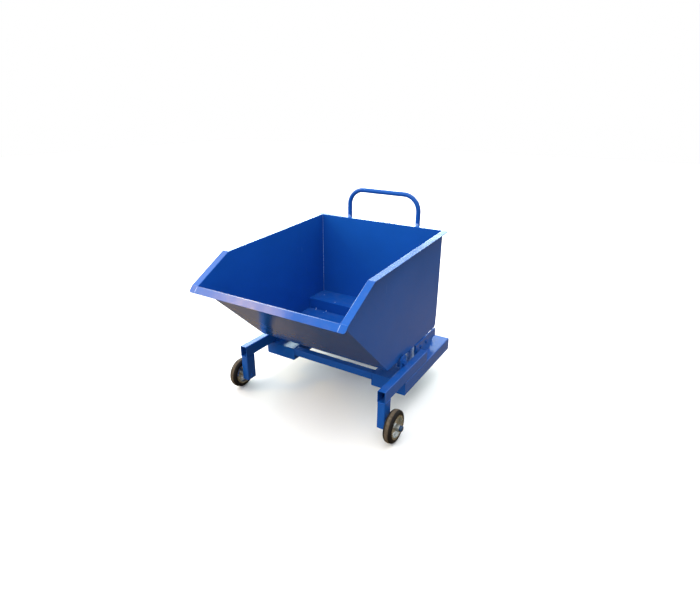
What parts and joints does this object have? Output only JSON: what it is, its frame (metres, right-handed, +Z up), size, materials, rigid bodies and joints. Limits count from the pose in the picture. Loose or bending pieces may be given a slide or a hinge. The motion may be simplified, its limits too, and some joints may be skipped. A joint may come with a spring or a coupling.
{
  "type": "tipping skip trolley",
  "caption": "Sheet-steel skip with a sloping chute that tips forward on a low wheeled frame with fork pockets, rear castors, push handle and slide-bolt lock.",
  "frame": {"origin": "on the ground, under the middle of the trolley's overall box", "axes": "+X to the right seen from the chute, +Y from the chute to the push handle, +Z up"},
  "size_m": [1.01, 1.0919, 1.0045],
  "materials": {
    "blue_paint": "gloss",
    "dark_blue_caps": "gloss",
    "zinc_steel": "satin",
    "zinc_fasteners": "satin",
    "tyre_rubber": "matte",
    "black_rubber": "matte"
  },
  "bodies": {
    "base": {"left_fork_pocket": "blue_paint", "right_fork_pocket": "blue_paint", "pocket_end_plates": "blue_paint", "front_cross_member": "blue_paint", "rear_channel": "blue_paint", "left_side_rail": "blue_paint", "right_side_rail": "blue_paint", "left_wheel_leg": "blue_paint", "right_wheel_leg": "blue_paint", "left_axle": "blue_paint", "right_axle": "blue_paint", "axle_washers": "zinc_fasteners", "axle_caps": "dark_blue_caps", "left_pivot_ear": "blue_paint", "right_pivot_ear": "blue_paint", "pivot_bolts": "blue_paint", "pivot_nuts": "blue_paint", "pivot_spacers": "zinc_fasteners", "left_support_plate": "blue_paint", "right_support_plate": "blue_paint", "left_rest_angle": "blue_paint", "right_rest_angle": "blue_paint", "left_rest_pad": "black_rubber", "right_rest_pad": "black_rubber", "rest_bolts": "blue_paint", "lock_bracket": "blue_paint", "left_castor_plate": "zinc_steel", "right_castor_plate": "zinc_steel", "castor_bolts": "zinc_fasteners", "left_kingpin": "zinc_steel", "right_kingpin": "zinc_steel", "swivel_bearings": "zinc_fasteners"},
    "skip": {"left_skip_side": "blue_paint", "right_skip_side": "blue_paint", "skip_floor": "blue_paint", "skip_rear_wall": "blue_paint", "push_handle": "blue_paint", "handle_brackets": "blue_paint", "left_pivot_lug": "blue_paint", "right_pivot_lug": "blue_paint", "lock_keeper": "blue_paint"},
    "left_wheel": {"left_tyre": "tyre_rubber", "left_rim": "zinc_steel", "left_hub": "zinc_steel"},
    "right_wheel": {"right_tyre": "tyre_rubber", "right_rim": "zinc_steel", "right_hub": "zinc_steel"},
    "left_castor": {"left_castor_fork": "zinc_steel", "left_castor_axle": "zinc_steel"},
    "right_castor": {"right_castor_fork": "zinc_steel", "right_castor_axle": "zinc_steel"},
    "left_castor_wheel": {"left_castor_tyre": "tyre_rubber", "left_castor_rim": "zinc_steel", "left_castor_hub": "zinc_steel"},
    "right_castor_wheel": {"right_castor_tyre": "tyre_rubber", "right_castor_rim": "zinc_steel", "right_castor_hub": "zinc_steel"},
    "lock_slider": {"lock_bolt": "blue_paint"}
  },
  "joints": [
    {"name": "skip_tip", "type": "hinge", "parent": "base", "child": "skip", "pos_m": [0, 0.026, 0.278], "axis": [1, 0, 0], "range_deg": [0, 56]},
    {"name": "left_wheel_spin", "type": "hinge", "parent": "base", "child": "left_wheel", "pos_m": [-0.4595, -0.21, 0.08], "axis": [1, 0, 0], "continuous": true},
    {"name": "left_castor_swivel", "type": "hinge", "parent": "base", "child": "left_castor", "pos_m": [-0.12, 0.434, 0.15], "axis": [0, 0, 1], "continuous": true},
    {"name": "left_castor_spin", "type": "hinge", "parent": "left_castor", "child": "left_castor_wheel", "pos_m": [-0.12, 0.474, 0.0625], "axis": [1, 0, 0], "continuous": true},
    {"name": "right_wheel_spin", "type": "hinge", "parent": "base", "child": "right_wheel", "pos_m": [0.4595, -0.21, 0.08], "axis": [1, 0, 0], "continuous": true},
    {"name": "right_castor_swivel", "type": "hinge", "parent": "base", "child": "right_castor", "pos_m": [0.12, 0.434, 0.15], "axis": [0, 0, 1], "continuous": true},
    {"name": "right_castor_spin", "type": "hinge", "parent": "right_castor", "child": "right_castor_wheel", "pos_m": [0.12, 0.474, 0.0625], "axis": [1, 0, 0], "continuous": true},
    {"name": "lock_slide", "type": "slide", "parent": "base", "child": "lock_slider", "axis": [-1, 0, 0], "range_m": [0, 0.03]}
  ]
}
